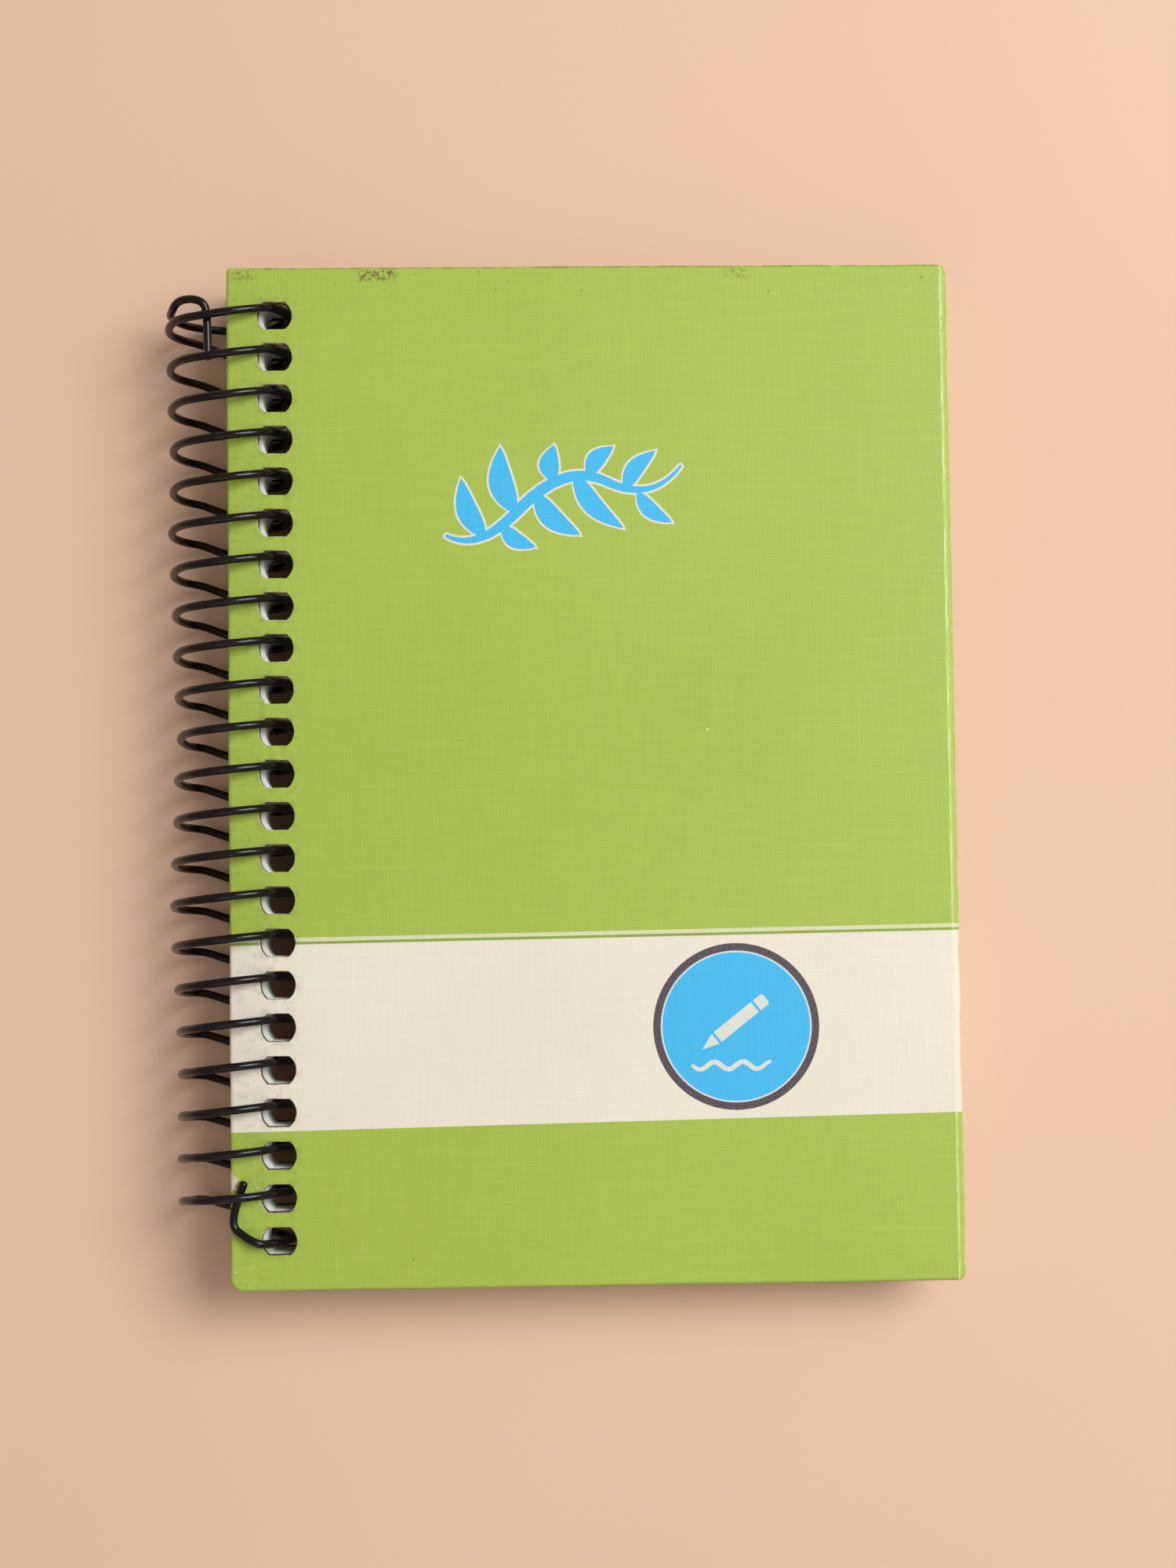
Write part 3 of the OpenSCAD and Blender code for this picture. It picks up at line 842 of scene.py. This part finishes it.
def stroke(path, widths, grow=0.0):
    """A pen stroke along path whose width follows widths; grow widens it all round."""
    P = np.array(path)
    T = np.gradient(P, axis=0)
    T /= np.linalg.norm(T, axis=1)[:, None]
    N = np.stack([-T[:, 1], T[:, 0]], 1)
    w = np.interp(np.linspace(0, 1, len(P)), np.linspace(0, 1, len(widths)), widths) / 2 + grow
    L, R = P + N * w[:, None], P - N * w[:, None]
    cap = lambda c, t, n, r: [c + r * (t * math.sin(a) + n * math.cos(a)) for a in np.linspace(0, math.pi, 7)[1:-1]]
    end = cap(P[-1], T[-1], N[-1], w[-1])
    start = cap(P[0], -T[0], -N[0], w[0])
    return [tuple(q) for q in list(L) + end + list(R[::-1]) + start]


def leaf_shape(base, tip, fat, bend, grow=0.0):
    base, tip = np.array(base, float), np.array(tip, float)
    d = tip - base
    L = np.linalg.norm(d)
    t = d / L
    n = np.array([-t[1], t[0]])
    pts = []
    s = np.linspace(0, 1, 17)
    mid_ = lambda q: base + d * q + n * bend * math.sin(math.pi * q)
    w = lambda q: fat * (math.sin(math.pi * q ** 0.8)) ** 0.8 / 2
    up = [mid_(q) + n * (w(q) + grow) for q in s]
    dn = [mid_(q) - n * (w(q) + grow) for q in s]
    return [tuple(base - t * grow)] + [tuple(q) for q in up] + [tuple(tip + t * grow * 1.6)] + [tuple(q) for q in dn[::-1]]


# a flowing sprig stands where the cover's printed word was
def sprig(grow):
    stem = bez([(33.2, 41.4), (37.5, 43.6), (41.5, 40.2), (44.6, 37.0), (48.4, 33.2), (52.8, 31.0), (57.4, 33.2),
                (61.0, 35.0), (65.2, 35.6), (68.8, 31.0)])
    shapes = [stroke(stem, [0.5, 1.1, 1.55, 1.7, 1.6, 1.4, 1.15, 0.8, 0.4], grow)]
    for base, tip, fat, bend in (((38.8, 41.6), (35.4, 32.6), 3.2, -0.9), ((41.4, 39.9), (46.6, 43.2), 2.5, 0.7),
                                 ((43.4, 37.9), (41.4, 27.8), 3.7, -1.0), ((46.6, 35.0), (53.4, 41.4), 3.2, 1.0),
                                 ((49.2, 33.1), (49.6, 27.6), 3.0, -0.6), ((52.6, 32.0), (60.0, 40.4), 3.0, 1.1),
                                 ((54.6, 32.2), (58.6, 27.9), 2.7, -0.6), ((60.2, 34.4), (65.0, 28.6), 2.6, -0.7),
                                 ((62.1, 35.0), (67.4, 39.6), 2.4, 0.7)):
        shapes.append(leaf_shape(base, tip, fat, bend, grow))
    return shapes


flat_shape("print_sprig_outline", sprig(0.34), ZO + 0.004, INK_PALE)
flat_shape("print_sprig", sprig(0.0), ZO + 0.022, INK_BLUE)


# a pencil drawing a wavy line stands where the badge's words were
def at(u, v, c=(76.0, 115.4), a=math.radians(-38)):
    return (c[0] + u * math.cos(a) - v * math.sin(a), c[1] + u * math.sin(a) + v * math.cos(a))


pencil = [[at(-3.6, -0.95), at(3.6, -0.95), at(3.6, 0.95), at(-3.6, 0.95)],
          [at(4.0, -0.95), at(5.5, -0.95), at(5.75, -0.6), at(5.75, 0.6), at(5.5, 0.95), at(4.0, 0.95)],
          [at(-4.0, -0.95), at(-4.0, 0.95), at(-6.6, 0.0)]]
wave = stroke([(69.4 + t * 11.6, 121.9 + 0.55 * math.sin(t * 17.0)) for t in np.linspace(0, 1, 60)], [0.55, 0.75, 0.7, 0.75, 0.5])
flat_shape("print_badge_pencil", pencil + [wave], ZO + 0.010, INK_WHITE)

# ---------------------------------------------------------------- floor, light, camera
tilt = math.atan((blo[2] - 0) / (X1 - AX))


def floor_material():
    n = Nodes("floor_paper")
    a = n.noise(scale=0.006, detail=3.0)
    b = n.noise(scale=0.9, detail=3.0, rough=0.6)
    col = n.mix(n.ramp(a, 0.3, 0.7), srgb(232, 195, 168), srgb(235, 200, 174))
    col = n.shade(col, n.add(1.0, n.mul(n.sub(b, 0.5), 0.03)))
    return n.set(Base_Color=col, Roughness=0.62, Normal=n.bump(b, 0.08, 0.1), Specular_IOR_Level=0.25)


me = bpy.data.meshes.new("floor")
S = 1.6
me.from_pydata([(-S, -S, 0), (S, -S, 0), (S, S, 0), (-S, S, 0)], [], [(0, 1, 2, 3)])
me.materials.append(floor_material())
floor = bpy.data.objects.new("floor", me)
bpy.context.scene.collection.objects.link(floor)
floor.rotation_euler = (0, -tilt, 0)
floor.location = (AX * MM, 0, -0.00003)

world = bpy.data.worlds.new("studio")
bpy.context.scene.world = world
world.use_nodes = True
bg = world.node_tree.nodes["Background"]
bg.inputs[0].default_value = (1.0, 0.86, 0.77, 1)
bg.inputs[1].default_value = 0.325


def area(name, loc, target, size, power, colour=(1, 1, 1)):
    d = bpy.data.lights.new(name, "AREA")
    d.shape, d.size, d.size_y = "RECTANGLE", size[0], size[1]
    d.energy, d.color = power, colour
    o = bpy.data.objects.new(name, d)
    bpy.context.scene.collection.objects.link(o)
    o.location = loc
    o.rotation_euler = (Vector(target) - Vector(loc)).to_track_quat("-Z", "Y").to_euler()
    return o


area("key", (0.60, 0.29, 0.92), (0, 0, 0), (0.64, 0.64), 10.9, (0.98, 1.0, 1.02))
area("fill", (0.0, -0.7, 0.9), (0, 0, 0), (0.9, 0.9), 1.2, (1.0, 0.99, 0.98))

bpy.context.scene.view_settings.view_transform = "Standard"
bpy.context.scene.view_settings.look = "None"

cam = bpy.data.cameras.new("camera")
cam.lens, cam.sensor_width, cam.clip_start, cam.clip_end = 57.6, 36.0, 0.01, 10
cam.dof.use_dof = False
camera = bpy.data.objects.new("camera", cam)
bpy.context.scene.collection.objects.link(camera)
R = ((0.9996190984, -0.0123509061, 0.0246802180), (-0.0109928345, -0.9984573812, -0.0544244018), (0.0253143365, 0.0541323660, -0.9982128387))
M = Matrix(((R[0][0], -R[1][0], -R[2][0], -0.0055251), (R[0][1], -R[1][1], -R[2][1], -0.0225502),
            (R[0][2], -R[1][2], -R[2][2], 0.3940985), (0, 0, 0, 1)))
camera.matrix_world = M
bpy.context.scene.camera = camera
